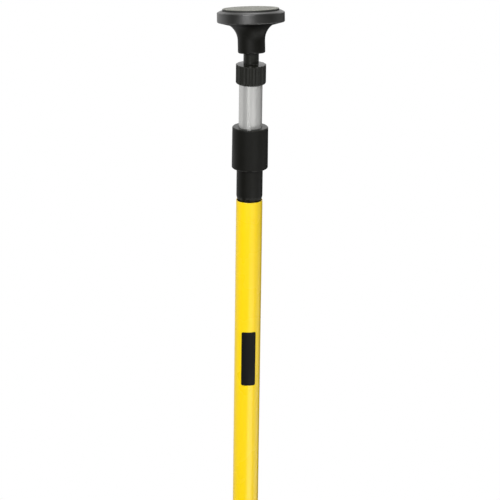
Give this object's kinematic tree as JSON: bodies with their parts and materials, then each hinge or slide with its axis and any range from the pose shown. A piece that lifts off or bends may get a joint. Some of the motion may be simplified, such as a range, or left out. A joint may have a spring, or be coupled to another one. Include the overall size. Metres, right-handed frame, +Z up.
{
  "type": "telescopic support pole",
  "caption": "Telescopic support pole: yellow outer tube with rubber foot, sliding silver tube held by a twist lock, and a screw-adjusted head with a leaning round rubber pad.",
  "frame": {"origin": "centre of the rubber foot's underside, on the axis of the tubes", "axes": "+Z up along the pole from foot to head, +Y away from the picture's viewer, +X to the viewer's right"},
  "size_m": [0.0633, 0.0636, 1.6476],
  "materials": {
    "yellow_coat": "semi-gloss powder coat",
    "zinc_tube": "satin zinc plate",
    "black_nylon": "fine moulded grain",
    "pale_acetal": "smooth",
    "foot_rubber": "matt",
    "pad_rubber": "matt, fine grain",
    "black_steel": "black oxide",
    "bright_steel": "zinc plate",
    "nut_brass": "turned"
  },
  "bodies": {
    "lower_pole": {"outer_tube": "yellow_coat", "lock_body": "black_nylon", "collet": "pale_acetal", "foot_boot": "foot_rubber", "foot_plug": "black_nylon"},
    "wedge": {"wedge_ring": "pale_acetal"},
    "collar": {"lock_collar": "black_nylon"},
    "upper_pole": {"inner_tube": "zinc_tube", "spindle_guide": "black_nylon", "guide_pins": "bright_steel", "knob_snap_ring": "bright_steel", "thrust_washer": "bright_steel", "guide_bush": "pale_acetal", "bush_pin": "bright_steel"},
    "knob": {"adjusting_knob": "black_nylon", "knob_nut": "nut_brass"},
    "screw": {"spindle": "black_steel", "stop_washer": "bright_steel", "stop_screw": "bright_steel", "ball_screw": "bright_steel"},
    "ball": {"swivel_ball": "pale_acetal"},
    "head": {"head_plate": "black_nylon", "socket_ring": "black_nylon", "pad_disc": "pad_rubber"}
  },
  "joints": [
    {"name": "collar_advance", "type": "slide", "parent": "lower_pole", "child": "wedge", "axis": [0, 0, 1], "range_m": [0, 0.001]},
    {"name": "collar_turn", "type": "hinge", "parent": "wedge", "child": "collar", "pos_m": [0, 0, 1.512], "axis": [0, 0, 1], "range_deg": [0, 180]},
    {"name": "telescope", "type": "slide", "parent": "lower_pole", "child": "upper_pole", "axis": [0, 0, 1], "range_m": [-0.04, 1.28]},
    {"name": "knob_turn", "type": "hinge", "parent": "upper_pole", "child": "knob", "pos_m": [0, 0, 1.583], "axis": [0, 0, -1], "range_deg": [0, 2880]},
    {"name": "spindle_travel", "type": "slide", "parent": "upper_pole", "child": "screw", "axis": [0, 0, 1], "range_m": [0, 0.024]},
    {"name": "head_swivel", "type": "hinge", "parent": "screw", "child": "ball", "pos_m": [0, 0, 1.614], "axis": [0, 0, 1], "continuous": true},
    {"name": "head_tilt", "type": "hinge", "parent": "ball", "child": "head", "pos_m": [0, 0, 1.614], "axis": [-0.9703, -0.2419, 0], "range_deg": [-18, 2]}
  ],
  "couplings": [
    {"joint": "collar_turn", "follows": "collar_advance", "rad_per_m": 3141.6},
    {"joint": "knob_turn", "follows": "spindle_travel", "rad_per_m": 2094.4}
  ]
}
